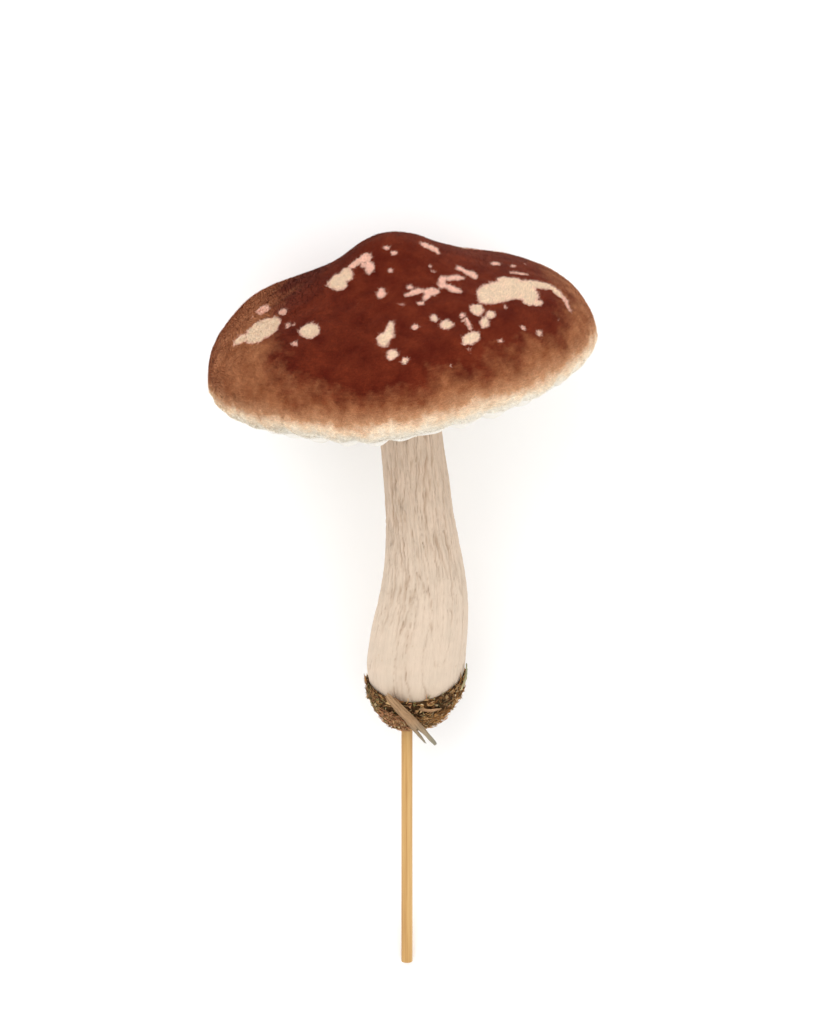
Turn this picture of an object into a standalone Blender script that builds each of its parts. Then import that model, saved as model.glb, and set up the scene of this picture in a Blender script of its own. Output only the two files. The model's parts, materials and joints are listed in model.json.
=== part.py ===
"""A velvet craft mushroom on a bamboo pick, lying on its side.

Everything is first built upright in the mushroom's own frame: +Z runs up the stick to the cap, heights
are counted from just above the stick's cut end, and -Y is the side that faces up once it lies down.
The cap's pieces are built round the cap's own centre and tilted as one. An empty then lays the whole
mushroom down until the end of the stick and the edge of the cap both touch the table at z = 0.
"""

import math

import bmesh
import bpy
import numpy as np
from mathutils import Matrix, Vector, noise

MM = 0.001
GAP = 0.3 * MM  # left between pieces that touch

# Stick: a round bamboo pick, glued into the foot of the stem.
STICK_RADIUS = 1.6 * MM
STICK_FOOT = -2.2 * MM  # height of the cut end
STICK_TOP = 117 * MM
STICK_SIDES = 20
BORE_RADIUS = STICK_RADIUS + GAP

# Stem: a shaped foam core under a pleated fibre wrap. Stations run (height, value).
STEM_FOOT = 71.5 * MM  # underside of the bulb
STEM_WIDEST = 88 * MM
STEM_TOP = 174.5 * MM
STEM_LEAN = [(70, 1.4), (90, 2.8), (111, 4.8), (133, 3.4), (155, 1.0), (176, -1.1)]
STEM_RADII = [(88, 13.9), (98, 13.5), (112, 11.7), (126, 10.0), (145, 9.1), (176, 8.8)]
WRAP_THICKNESS = 0.8 * MM
STEM_SIDES = 24

# Cap: velvet stretched over a foam form, with a gathered cloth underneath for gills.
CAP_CENTRE = Vector((-1.3, 0, 175.6)) * MM
CAP_ROLL = math.radians(8.6)  # the +X edge is higher
CAP_NOD = math.radians(2.5)  # the -Y edge is lower
CAP_RADIUS = 54.2 * MM
DOME_HEIGHT = 26 * MM
DOME_POWERS = (1.87, 0.4)
KNOB_HEIGHT = 10.9 * MM
KNOB_REACH = 18.7 * MM
EDGE_WIDTH = 10 * MM  # how far the velvet turns in under the edge
EDGE_DROP = 6.0 * MM
EDGE_TURN = math.radians(68)  # how far round that curl the velvet goes
VELVET_THICKNESS = 1.5 * MM
CAP_SIDES = 40
FORM_SIDES = 28
FORM_GAP = 0.45 * MM  # the form has fewer sides, so it takes more room inside the velvet
DOME_RINGS = 9
EDGE_RINGS = 4
CRUSH = 0.9 * MM  # how far the soft edge is flattened where it rests
# Where the hand-shaped cap stands higher or sinks: x, y, how far it spreads and how high, in mm.
CAP_BULGES = [(-38, 22, 12, 2.0), (-11, 8, 9, -1.5), (58, 10, 11, -2.2), (-7, -50, 17, -2.0)]

# Gathered cloth: pleats run out from the stem and stand proud of the velvet's edge.
PLEATS = 32
COLUMNS_PER_PLEAT = 4
GILL_INNER = 10.6 * MM
GILL_OUTER = 47.2 * MM
GILL_THICKNESS = 0.9 * MM
GILL_GAP = 0.5 * MM  # under the form, which has other facets
PLEAT_DEPTH = 1.9 * MM
SOCKET_RADIUS = 9.9 * MM
SOCKET_TOP = 2.0 * MM  # above the cap's widest level

# Moss wad: a bowl of dried moss that the foot sits in. Turns run down the foot, from 0 at its widest
# level to 90 degrees at its lowest point.
WAD_EDGE_THICKNESS = 0.6 * MM
WAD_THICKNESS = 2.1 * MM
WAD_LUMPS = 0.4 * MM
WAD_RINGS = 6
WAD_SIDES = 28

# Clumps pressed onto the wad: bearing, turn, half width, half height (degrees) and thickness (mm).
CLUMPS = {
    "moss_clump_left": (196, 42, 20, 17, 1.0, "green_moss"),
    "moss_clump_front": (-128, 62, 26, 16, 0.9, "root"),
    "coir_clump_front": (-52, 60, 24, 17, 0.9, "moss"),
    "coir_clump_right": (-8, 40, 15, 20, 1.2, "moss"),
    "moss_clump_back": (72, 52, 30, 20, 1.5, "green_moss"),
    "coir_clump_back": (130, 62, 20, 16, 1.2, "moss"),
}

# Strips of split bark: their route in mm, then half width and half thickness at its two ends.
BARK_STRIPS = {
    "bark_strip_long": (
        [(-5.6, -11.5, 81.2), (-2.4, -13.0, 77.8), (1.4, -12.9, 74.0), (4.8, -11.2, 69.6), (7.9, -9.0, 65.4)],
        (2.1, 1.4),
        (0.55, 0.4),
    ),
    "bark_strip_short": (
        [(9.8, -9.8, 76.4), (6.4, -12.0, 76.5), (3.4, -12.8, 77.2)],
        (0.7, 1.2),
        (0.35, 0.45),
    ),
    "bark_shard_right": (
        [(16.8, -3.3, 87.8), (16.6, -4.7, 84.2), (15.1, -6.3, 80.6)],
        (0.7, 1.1),
        (0.3, 0.4),
    ),
}
PRONG = [(3.0, -11.8, 71.6), (4.2, -11.2, 69.0), (5.1, -10.4, 66.3)]  # the long strip's second point
PRONG_SIZE = ((0.8, 0.45), (0.4, 0.35))
BULB_CENTRE = Vector((2.6, 0, 88)) * MM

# Root twigs lie across the wad: their radius, and (bearing, turn, height over the wad in mm) along each.
TWIG_RADIUS = 0.45 * MM
TWIGS = {
    "root_twig_left": [(158, 63, 0.8), (178, 70, 0.85), (200, 76, 1.3)],
    "root_twig_back": [(104, 26, 0.8), (120, 34, 0.85), (138, 37, 1.4)],
}

COLOURS = {
    "bamboo": (0.68, 0.40, 0.13, 0.55),
    "fibre_wrap": (0.75, 0.62, 0.48, 0.9),
    "foam": (0.85, 0.85, 0.82, 0.9),
    "velvet": (0.16, 0.035, 0.015, 0.95),
    "gill_cloth": (0.84, 0.78, 0.67, 0.95),
    "moss": (0.11, 0.07, 0.03, 1.0),
    "green_moss": (0.10, 0.11, 0.04, 1.0),
    "bark": (0.27, 0.17, 0.09, 0.9),
    "root": (0.20, 0.10, 0.05, 0.9),
}


def material(name):
    """The Principled material of that name, made once."""
    if name in bpy.data.materials:
        return bpy.data.materials[name]
    red, green, blue, roughness = COLOURS[name]
    made = bpy.data.materials.new(name)
    made.use_nodes = True
    shader = made.node_tree.nodes["Principled BSDF"]
    shader.inputs["Base Color"].default_value = (red, green, blue, 1)
    shader.inputs["Roughness"].default_value = roughness
    shader.inputs["Metallic"].default_value = 0.0
    return made


def collection(name, hidden=False):
    made = bpy.data.collections.new(name)
    made.hide_render = hidden
    bpy.context.scene.collection.children.link(made)
    return made


def add_object(name, data, finish, group, parent=None):
    """Links a new object to its collection, with its material and parent."""
    made = bpy.data.objects.new(name, data)
    group.objects.link(made)
    if finish:
        data.materials.clear()
        data.materials.append(material(finish))
    made.parent = parent
    return made


def evaluated_mesh(obj):
    """A mesh of obj with its modifiers applied; obj itself is removed."""
    bpy.context.view_layer.update()
    graph = bpy.context.evaluated_depsgraph_get()
    mesh = bpy.data.meshes.new_from_object(obj.evaluated_get(graph))
    bpy.data.objects.remove(obj)
    return mesh


def turned_mesh(name, profile, sides, group):
    """Spins a profile of (radius, height) round Z. It runs down the outer side, top to bottom."""
    line = bpy.data.meshes.new(name)
    points = [(radius, 0, height) for radius, height in profile]
    line.from_pydata(points, [(i, i + 1) for i in range(len(points) - 1)], [])
    blank = bpy.data.objects.new(name, line)
    group.objects.link(blank)
    screw = blank.modifiers.new("turn", "SCREW")
    screw.steps = screw.render_steps = sides
    screw.use_merge_vertices = True
    screw.merge_threshold = 0.00005
    return evaluated_mesh(blank)


def reshape(mesh, move):
    """Moves every vertex of mesh to move(point)."""
    for vertex in mesh.vertices:
        vertex.co = move(vertex.co)
    mesh.update()
    return mesh


def smooth_shading(obj, angle=40):
    obj.data.shade_smooth()
    obj.data.set_sharp_from_angle(angle=math.radians(angle))


def solidify(obj, thickness):
    shell = obj.modifiers.new("thickness", "SOLIDIFY")
    shell.thickness = thickness
    shell.offset = -1
    shell.use_even_offset = True
    shell.use_quality_normals = True


def cut(obj, cutter):
    boolean = obj.modifiers.new("cut " + cutter.name, "BOOLEAN")
    boolean.operation = "DIFFERENCE"
    boolean.object = cutter


def cylinder_cutter(name, radius, bottom, top, group, parent):
    """A wire-shown cylinder along Z, used only to cut holes."""
    bpy.ops.mesh.primitive_cylinder_add(vertices=28, radius=radius, depth=top - bottom)
    made = bpy.context.active_object
    made.name = name
    made.data.transform(Matrix.Translation((0, 0, (top + bottom) / 2)))
    for owner in list(made.users_collection):
        owner.objects.unlink(made)
    group.objects.link(made)
    made.parent = parent
    made.hide_render = True
    made.display_type = "WIRE"
    return made


def through(stations, height):
    """A smooth value at that height, through stations of (height in mm, value in mm)."""
    heights, values = (np.array(column) * MM for column in zip(*stations))
    slopes = np.gradient(values, heights)
    height = min(max(height, heights[0]), heights[-1])
    i = min(int(np.searchsorted(heights, height, side="right")), len(heights) - 1) - 1
    span = heights[i + 1] - heights[i]
    t = (height - heights[i]) / span
    return float(
        values[i] * (1 + 2 * t) * (1 - t) ** 2
        + values[i + 1] * t * t * (3 - 2 * t)
        + slopes[i] * span * t * (1 - t) ** 2
        - slopes[i + 1] * span * t * t * (1 - t)
    )


# ---- the stem ------------------------------------------------------------------------------------


def bulb_point(angle, inset=0.0):
    """(radius, height) on the bulb's round foot, from its widest level at 0 to its pole at 90 degrees."""
    wide = STEM_RADII[0][1] * MM - inset
    deep = STEM_WIDEST - STEM_FOOT - inset
    return wide * math.cos(angle), STEM_WIDEST - deep * math.sin(angle)


def stem_profile(inset, top, rings=10, foot_rings=6):
    """The stem's outline from its top edge down to the pole under the bulb."""
    heights = np.linspace(top, STEM_WIDEST, rings)
    shaft = [(through(STEM_RADII, z) - inset, float(z)) for z in heights]
    turns = [math.pi / 2 * (i + 1) / foot_rings for i in range(foot_rings)]
    return shaft + [bulb_point(turn, inset) for turn in turns]


def lean(point):
    """Carries a point of the straight stem onto its bent centreline."""
    return Vector((point.x + through(STEM_LEAN, point.z), point.y, point.z))


def build_stick(parts, root):
    bpy.ops.mesh.primitive_cylinder_add(
        vertices=STICK_SIDES, radius=STICK_RADIUS, depth=STICK_TOP - STICK_FOOT, end_fill_type="NGON"
    )
    blank = bpy.context.active_object
    mesh = blank.data.copy()
    bpy.data.objects.remove(blank)
    # Half a side round, so that the stick lies on a flat of its own and not on a corner.
    half_side = Matrix.Rotation(math.pi / STICK_SIDES, 4, "Z")
    mesh.transform(Matrix.Translation((0, 0, (STICK_TOP + STICK_FOOT) / 2)) @ half_side)
    stick = add_object("stick", mesh, "bamboo", parts, root)
    smooth_shading(stick)
    return stick


def build_stem(bore, parts, cutters, root):
    outer = stem_profile(0, STEM_TOP)
    wrap_mesh = turned_mesh("stem_wrap", outer, STEM_SIDES, cutters)
    wrap = add_object("stem_wrap", reshape(wrap_mesh, lean), "fibre_wrap", parts, root)
    solidify(wrap, WRAP_THICKNESS)
    cut(wrap, bore)

    core = stem_profile(WRAP_THICKNESS + GAP, STEM_TOP, rings=9, foot_rings=5)
    core = [(0, STEM_TOP)] + core
    core_mesh = turned_mesh("stem_form", core, STEM_SIDES, cutters)
    form = add_object("stem_form", reshape(core_mesh, lean), "foam", parts, root)
    cut(form, bore)
    for piece in (wrap, form):
        smooth_shading(piece)


# ---- the cap, in a frame with its widest level at z = 0 ------------------------------------------


def dome_height(radius):
    """Height of the velvet over the widest level, at that distance from the cap's axis."""
    inner, outer = DOME_POWERS
    share = max(0.0, 1 - (radius / CAP_RADIUS) ** inner)
    return DOME_HEIGHT * share**outer + KNOB_HEIGHT * math.exp(-((radius / KNOB_REACH) ** 2))


def edge_point(turn):
    """(radius, height) on the curl under the edge, from the widest level at 0."""
    radius = CAP_RADIUS - EDGE_WIDTH * (1 - math.cos(turn))
    return radius, dome_height(CAP_RADIUS) - EDGE_DROP * math.sin(turn)


def velvet_profile(inset=0.0):
    """The cap's outline from its top, over the edge and in under it, moved in by inset."""
    sweeps = np.linspace(0, math.pi / 2, DOME_RINGS + 1)
    dome = [(CAP_RADIUS * math.sin(s), dome_height(CAP_RADIUS * math.sin(s))) for s in sweeps]
    turns = [EDGE_TURN * (i + 1) / EDGE_RINGS for i in range(EDGE_RINGS)]
    points = np.array(dome + [edge_point(turn) for turn in turns])
    along = np.gradient(points, axis=0)
    along /= np.linalg.norm(along, axis=1)[:, None]
    along[0] = (1, 0)
    outward = np.stack([-along[:, 1], along[:, 0]], axis=1)
    moved = points - inset * outward
    moved[:, 0] = np.maximum(moved[:, 0], 0)
    return [tuple(p) for p in moved.tolist()]


def cap_lobes(point):
    """The cap isn't quite round: its edge swells and dips a little round its axis."""
    bearing = math.atan2(point.y, point.x)
    far = min(1.0, math.hypot(point.x, point.y) / CAP_RADIUS)
    swell = 0.008 * math.cos(2 * bearing + 0.6) + 0.006 * math.cos(3 * bearing - 1.0)
    rise = 0.5 * MM * math.cos(2 * bearing - 0.8) * far**2
    for x, y, spread, height in CAP_BULGES:
        away = math.hypot(point.x - x * MM, point.y - y * MM) / (spread * MM)
        rise += height * MM * math.exp(-(away**2))
    return Vector((point.x * (1 + swell * far), point.y * (1 + swell * far), point.z + rise))


def pleat_wave(bearing):
    """From 0 in a valley to 1 on a fold, with uneven folds."""
    uneven = bearing * PLEATS + 0.9 * math.sin(3 * bearing) + 0.7 * math.sin(5 * bearing + 1.3)
    return 0.5 + 0.5 * math.cos(uneven)


def pleated(point):
    """Pushes a point of the flat gathered cloth down into its folds."""
    radius, bearing = math.hypot(point.x, point.y), math.atan2(point.y, point.x)
    out = (radius - GILL_INNER) / (GILL_OUTER - GILL_INNER)
    depth = PLEAT_DEPTH * pleat_wave(bearing) * min(1.0, 0.35 + out)
    return cap_lobes(point - Vector((0, 0, depth)))


def build_cap(parts, cutters, root):
    tilt = bpy.data.objects.new("cap_tilt", None)
    parts.objects.link(tilt)
    tilt.parent = root
    tilt.location = CAP_CENTRE
    tilt.rotation_euler = (CAP_NOD, -CAP_ROLL, 0)

    velvet_mesh = turned_mesh("cap_velvet", velvet_profile(), CAP_SIDES, cutters)
    velvet = add_object("cap_velvet", reshape(velvet_mesh, cap_lobes), "velvet", parts, tilt)
    solidify(velvet, VELVET_THICKNESS)

    inside = velvet_profile(VELVET_THICKNESS + FORM_GAP)
    flat = edge_point(EDGE_TURN)[1] - GAP
    floor = flat + GILL_THICKNESS + GILL_GAP
    gill_middle = (GILL_INNER + GILL_OUTER) / 2
    under = [(radius, floor) for radius in (CAP_RADIUS - EDGE_WIDTH, gill_middle, 0)]
    inside = [p for p in inside if p[1] > floor] + under
    form_mesh = turned_mesh("cap_form", inside, FORM_SIDES, cutters)
    form = add_object("cap_form", reshape(form_mesh, cap_lobes), "foam", parts, tilt)
    socket = cylinder_cutter("socket", SOCKET_RADIUS, -20 * MM, SOCKET_TOP, cutters, tilt)
    cut(form, socket)

    profile = [(radius, flat) for radius in (GILL_OUTER, gill_middle, GILL_INNER)]
    gill_mesh = turned_mesh("gill_cloth", profile, PLEATS * COLUMNS_PER_PLEAT, cutters)
    gills = add_object("gill_cloth", reshape(gill_mesh, pleated), "gill_cloth", parts, tilt)
    solidify(gills, GILL_THICKNESS)
    for piece in (velvet, form, gills):
        smooth_shading(piece)
    return velvet


# ---- moss, bark and roots ------------------------------------------------------------------------


def wad_edge(bearing):
    """The turn at which the wad's upper edge ends: low at the front, and high at the sides."""
    swing = 3 * math.cos(bearing) + 4.5 * math.sin(bearing) + 5.75 * math.cos(2 * bearing)
    return math.radians(22.75 - swing)


def wad_height(bearing, turn):
    """How far the wad's lumpy outside stands off the foot."""
    edge = wad_edge(bearing)
    rise = min(1.0, max(0.0, (turn - edge) / (math.radians(70) - edge)))
    rise = rise * rise * (3 - 2 * rise)
    spot = Vector((math.cos(bearing), math.sin(bearing), turn)) * 2.2
    thickness = WAD_EDGE_THICKNESS + (WAD_THICKNESS - WAD_EDGE_THICKNESS) * rise
    return GAP + thickness + WAD_LUMPS * rise * noise.noise(spot)


def on_foot(bearing, turn, out):
    """A point at that height off the foot's surface."""
    radius, height = bulb_point(turn, -out)
    return lean(Vector((radius * math.cos(bearing), radius * math.sin(bearing), height)))


def build_wad(bore, parts, cutters, root):
    """A lens turned flat, then wrapped up round the foot. Its distance from the axis stands for the turn."""
    reach = 60 * MM  # stands for the whole way from the pole to the wad's edge
    steps = [reach * i / WAD_RINGS for i in range(WAD_RINGS + 1)]
    lens = [(r, 0) for r in steps] + [(r, -MM) for r in reversed(steps)]
    mesh = turned_mesh("moss_wad", lens, WAD_SIDES, cutters)

    def wrap_round(point):
        bearing = math.atan2(point.y, point.x)
        share = math.hypot(point.x, point.y) / reach
        turn = math.pi / 2 - share * (math.pi / 2 - wad_edge(bearing))
        return on_foot(bearing, turn, GAP if point.z > -MM / 2 else wad_height(bearing, turn))

    wad = add_object("moss_wad", reshape(mesh, wrap_round), "moss", parts, root)
    cut(wad, bore)
    smooth_shading(wad, 60)


def build_clump(name, parts, root):
    """A ball flattened onto the wad's outside."""
    bearing, turn, half_width, half_height, thickness, finish = CLUMPS[name]
    bpy.ops.mesh.primitive_uv_sphere_add(segments=14, ring_count=8, radius=1)
    blank = bpy.context.active_object
    mesh = blank.data.copy()
    bpy.data.objects.remove(blank)

    def press_on(point):
        here = math.radians(bearing + half_width * point.x)
        down = math.radians(turn + half_height * point.z)
        ragged = 0.7 + 0.6 * noise.noise(point * 1.7 + Vector((bearing, turn, 0)))
        out = (1 + point.y) / 2 * thickness * MM * ragged
        return on_foot(here, down, wad_height(here, down) + GAP + out)

    clump = add_object(name, reshape(mesh, press_on), finish, parts, root)
    smooth_shading(clump, 60)


def split_strip(name, route, widths, thicknesses, rings=9):
    """A flat strip with an uneven edge, from a bar wrapped along its route with its face turned outwards."""
    bar = bmesh.new()
    bmesh.ops.create_cone(bar, cap_ends=True, segments=8, radius1=1, radius2=1, depth=1)
    upright = [e for e in bar.edges if abs(e.verts[0].co.z - e.verts[1].co.z) > 0.5]
    bmesh.ops.subdivide_edges(bar, edges=upright, cuts=rings - 2, use_grid_fill=True)
    mesh = bpy.data.meshes.new(name)
    bar.to_mesh(mesh)
    bar.free()
    points = [Vector(point) * MM for point in route]

    def place(share):
        """The smooth route's point at that share of its length."""
        at = share * (len(points) - 1)
        i = min(int(at), len(points) - 2)
        t = at - i
        before = points[max(i - 1, 0)]
        after = points[min(i + 2, len(points) - 1)]
        first = (points[i + 1] - before) / 2
        last = (after - points[i]) / 2
        return (
            points[i] * (1 + 2 * t) * (1 - t) ** 2
            + points[i + 1] * t * t * (3 - 2 * t)
            + first * t * (1 - t) ** 2
            - last * t * t * (1 - t)
        )

    def lay(point):
        share = point.z + 0.5
        here = place(share)
        along = (place(min(share + 0.02, 1)) - place(max(share - 0.02, 0))).normalized()
        across = along.cross(here - BULB_CENTRE).normalized()
        face = along.cross(across)
        width = (widths[0] + (widths[1] - widths[0]) * share) * MM
        width *= 1 + 0.18 * noise.noise(Vector((share * 6, point.x, 3)))
        thick = (thicknesses[0] + (thicknesses[1] - thicknesses[0]) * share) * MM
        return here + across * point.x * width + face * point.y * thick

    return reshape(mesh, lay)


def build_bark(parts, cutters, root):
    for name, (route, widths, thicknesses) in BARK_STRIPS.items():
        mesh = split_strip(name, route, widths, thicknesses)
        strip = add_object(name, mesh, "bark", parts, root)
        if name == "bark_strip_long":
            prong_mesh = split_strip("long_strip_prong", PRONG, *PRONG_SIZE)
            prong = add_object("long_strip_prong", prong_mesh, "bark", cutters, root)
            prong.hide_render = True
            prong.display_type = "WIRE"
            fork = strip.modifiers.new("second point", "BOOLEAN")
            fork.operation = "UNION"
            fork.object = prong
        smooth_shading(strip)


def build_twig(name, parts, root):
    curve = bpy.data.curves.new(name, "CURVE")
    curve.dimensions = "3D"
    curve.bevel_depth = TWIG_RADIUS
    curve.bevel_resolution = 1
    curve.resolution_u = 5
    curve.use_fill_caps = True
    spline = curve.splines.new("NURBS")
    spline.use_endpoint_u = True
    spline.order_u = 3
    spline.points.add(len(TWIGS[name]) - 1)
    for point, (bearing, turn, out) in zip(spline.points, TWIGS[name]):
        bearing, turn = math.radians(bearing), math.radians(turn)
        place = on_foot(bearing, turn, wad_height(bearing, turn) + out * MM)
        point.co = (*place, 1)
    add_object(name, curve, "root", parts, root)


# ---- lying down ----------------------------------------------------------------------------------


def seat_on_table(velvet, root):
    """Lays the mushroom down on the stick's end and the cap's edge, and flattens the velvet there."""
    bpy.context.view_layer.update()
    finish = velvet.data.materials[0]
    to_mushroom = velvet.parent.matrix_local
    stick_side = STICK_RADIUS * math.cos(math.pi / STICK_SIDES)
    graph = bpy.context.evaluated_depsgraph_get()
    mesh = bpy.data.meshes.new_from_object(velvet.evaluated_get(graph))
    points = [to_mushroom @ vertex.co for vertex in mesh.vertices]
    slope = max((p.y - stick_side - CRUSH) / (p.z - STICK_FOOT) for p in points)
    lift = math.atan(slope)
    up = Vector((0, -math.cos(lift), math.sin(lift)))
    table = STICK_FOOT * math.sin(lift) - stick_side * math.cos(lift)
    back = to_mushroom.inverted()
    for vertex, point in zip(mesh.vertices, points):
        depth = table - point.dot(up)
        if depth > 0:
            vertex.co = back @ (point + up * depth)
    velvet.modifiers.clear()
    velvet.data = mesh
    if not mesh.materials:
        mesh.materials.append(finish)
    root.rotation_euler = (lift - math.pi / 2, 0, 0)


def centre_on_origin(parts, root):
    """Moves the whole mushroom so that its box is centred on the origin and stands on z = 0."""
    bpy.context.view_layer.update()
    graph = bpy.context.evaluated_depsgraph_get()
    corners = []
    for obj in parts.objects:
        if obj.type == "EMPTY":
            continue
        shown = obj.evaluated_get(graph)
        mesh = shown.to_mesh()
        corners += [shown.matrix_world @ vertex.co for vertex in mesh.vertices]
        shown.to_mesh_clear()
    low = Vector([min(c[i] for c in corners) for i in range(3)])
    high = Vector([max(c[i] for c in corners) for i in range(3)])
    middle = (low + high) / 2
    root.location = (-middle.x, -middle.y, -low.z)


def main():
    for obj in list(bpy.data.objects):
        bpy.data.objects.remove(obj)
    parts = collection("velvet mushroom pick")
    cutters = collection("cutters", hidden=True)
    root = bpy.data.objects.new("lie_down", None)
    parts.objects.link(root)
    bore = cylinder_cutter(
        "stick_bore", BORE_RADIUS, STEM_FOOT - 8 * MM, STICK_TOP + GAP, cutters, root
    )
    build_stick(parts, root)
    build_stem(bore, parts, cutters, root)
    velvet = build_cap(parts, cutters, root)
    build_wad(bore, parts, cutters, root)
    for name in CLUMPS:
        build_clump(name, parts, root)
    build_bark(parts, cutters, root)
    for name in TWIGS:
        build_twig(name, parts, root)
    seat_on_table(velvet, root)
    centre_on_origin(parts, root)


main()
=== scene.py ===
import json
import math

import bpy
import numpy as np
from mathutils import Euler, Matrix, Vector, noise


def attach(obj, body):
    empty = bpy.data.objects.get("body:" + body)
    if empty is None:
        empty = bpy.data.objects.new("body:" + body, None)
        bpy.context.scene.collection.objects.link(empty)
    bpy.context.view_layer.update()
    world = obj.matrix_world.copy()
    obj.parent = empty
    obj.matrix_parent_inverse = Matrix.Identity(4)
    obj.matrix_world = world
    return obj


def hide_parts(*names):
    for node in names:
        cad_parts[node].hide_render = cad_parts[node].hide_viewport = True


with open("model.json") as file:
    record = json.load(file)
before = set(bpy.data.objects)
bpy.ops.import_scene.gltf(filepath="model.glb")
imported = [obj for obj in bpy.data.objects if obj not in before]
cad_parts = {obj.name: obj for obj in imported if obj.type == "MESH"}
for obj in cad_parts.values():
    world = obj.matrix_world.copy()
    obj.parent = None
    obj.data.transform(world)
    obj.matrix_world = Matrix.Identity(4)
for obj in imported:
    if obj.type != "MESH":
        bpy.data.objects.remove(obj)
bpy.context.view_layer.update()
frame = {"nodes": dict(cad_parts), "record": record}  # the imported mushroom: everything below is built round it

mm = 0.001
dice = np.random.default_rng(7)

# The mushroom's own frame has +Z up the stick. The cap has a frame of its own.
stickEnd = next(m for m in frame["record"]["mounts"] if m["name"] == "stick_end")
upStick = -Vector(stickEnd["axis"]).normalized()
sideways = Vector((1, 0, 0))
lying = Matrix((sideways, upStick.cross(sideways), upStick)).transposed().to_4x4()
lying.translation = Vector(stickEnd["pos_m"]) + 2.2 * mm * upStick  # heights start just above the cut end

capShape = {  # mm and degrees
    "centre": (-1.3, 0, 175.6),
    "roll": 8.6,
    "nod": 2.5,
    "radius": 54.2,
    "dome": 26,
    "domePowers": (1.87, 0.4),
    "knob": 10.9,
    "knobReach": 18.7,
    "edgeWidth": 10,
    "edgeDrop": 6,
    "edgeTurn": 68,
    "pleats": 32,
    # where the stuffing stands higher or sinks: x, y, spread and height
    "bulges": [(-38, 22, 12, 2.0), (-11, 8, 9, -1.5), (58, 10, 11, -2.2), (-7, -50, 17, -2.0)],
}
capTilt = Euler((math.radians(capShape["nod"]), -math.radians(capShape["roll"]), 0))
onCap = lying @ Matrix.Translation(Vector(capShape["centre"]) * mm) @ capTilt.to_matrix().to_4x4()


def deselectAll():
    if bpy.context.mode != "OBJECT":
        bpy.ops.object.mode_set(mode="OBJECT")
    bpy.ops.object.select_all(action="DESELECT")


def takeNew(name):
    piece = bpy.context.active_object
    piece.name = name
    piece.data.name = name
    return piece


def makeActive(piece):
    deselectAll()
    piece.select_set(True)
    bpy.context.view_layer.objects.active = piece


def getPoints(piece):
    points = np.empty(len(piece.data.vertices) * 3)
    piece.data.vertices.foreach_get("co", points)
    return points.reshape(-1, 3)


def setPoints(piece, points):
    piece.data.vertices.foreach_set("co", np.asarray(points, float).ravel())
    piece.data.update()


def putPiece(piece, place):  # the place goes into the mesh, in metres, and the object stays at the origin
    piece.data.transform(place @ Matrix.Scale(mm, 4))
    piece.data.update()


def keepAbove(piece, level):  # in mm, after putPiece: flattened where it lies on the table
    points = getPoints(piece)
    points[:, 2] = np.maximum(points[:, 2], level * mm)
    setPoints(piece, points)


def newPiece(name, points, faces, **settings):
    mesh = bpy.data.meshes.new(name)
    mesh.from_pydata(points, [], faces, **settings)
    piece = bpy.data.objects.new(name, mesh)
    bpy.context.scene.collection.objects.link(piece)
    return piece


def setValues(piece, name, values):  # a number or a vector for each vertex, for the materials to read
    values = np.asarray(values, float)
    kind = "FLOAT" if values.ndim == 1 else "FLOAT_VECTOR"
    made = piece.data.attributes.new(name, kind, "POINT")
    made.data.foreach_set("value" if values.ndim == 1 else "vector", values.ravel())


def weld(piece, gap=1e-5, outwards=True):
    makeActive(piece)
    bpy.ops.object.mode_set(mode="EDIT")
    bpy.ops.mesh.select_all(action="SELECT")
    bpy.ops.mesh.remove_doubles(threshold=gap)
    if outwards:
        bpy.ops.mesh.normals_make_consistent(inside=False)
    bpy.ops.object.mode_set(mode="OBJECT")


def applyAll(piece):
    makeActive(piece)
    for modifier in list(piece.modifiers):
        bpy.ops.object.modifier_apply(modifier=modifier.name)


def selectEdges(piece, wanted):  # leaves edit mode on, with those edges selected
    makeActive(piece)
    bpy.ops.object.mode_set(mode="EDIT")
    bpy.ops.mesh.select_mode(type="EDGE")
    bpy.ops.mesh.select_all(action="DESELECT")
    bpy.ops.object.mode_set(mode="OBJECT")
    for edge in piece.data.edges:
        low, high = (piece.data.vertices[i].co for i in edge.vertices)
        edge.select = wanted(low, high)
    bpy.ops.object.mode_set(mode="EDIT")


def finishPiece(piece, material, replaces=(), smooth=True):
    makeActive(piece)
    if smooth:
        bpy.ops.object.shade_smooth()
    piece.data.materials.clear()
    piece.data.materials.append(material)
    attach(piece, "root")
    if replaces:
        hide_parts(*replaces)
    print(piece.name, "has", len(piece.data.polygons), "faces")
    return piece


def wander(points, size, seed=0):  # smooth noise from -1 to 1 at each point, with bumps about that size
    shift = Vector((seed * 17.3, seed * 5.9, seed * 11.1))
    return np.array([noise.noise(Vector(p) / size + shift) for p in points])


def ease(values, low, high):
    t = np.clip((values - low) / (high - low), 0, 1)
    return t * t * (3 - 2 * t)


def cubic(t, start, end, leaving, arriving):
    return (start * (1 + 2 * t) * (1 - t) ** 2 + end * t * t * (3 - 2 * t)
            + leaving * t * (1 - t) ** 2 - arriving * t * t * (1 - t))


def through(stations, heights):  # a smooth curve through (height, value) stations
    knots, values = (np.array(column, float) for column in zip(*stations))
    slopes = np.gradient(values, knots)
    heights = np.clip(heights, knots[0], knots[-1])
    i = np.clip(np.searchsorted(knots, heights, side="right"), 1, len(knots) - 1) - 1
    span = knots[i + 1] - knots[i]
    return cubic((heights - knots[i]) / span, values[i], values[i + 1], slopes[i] * span, slopes[i + 1] * span)


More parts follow.
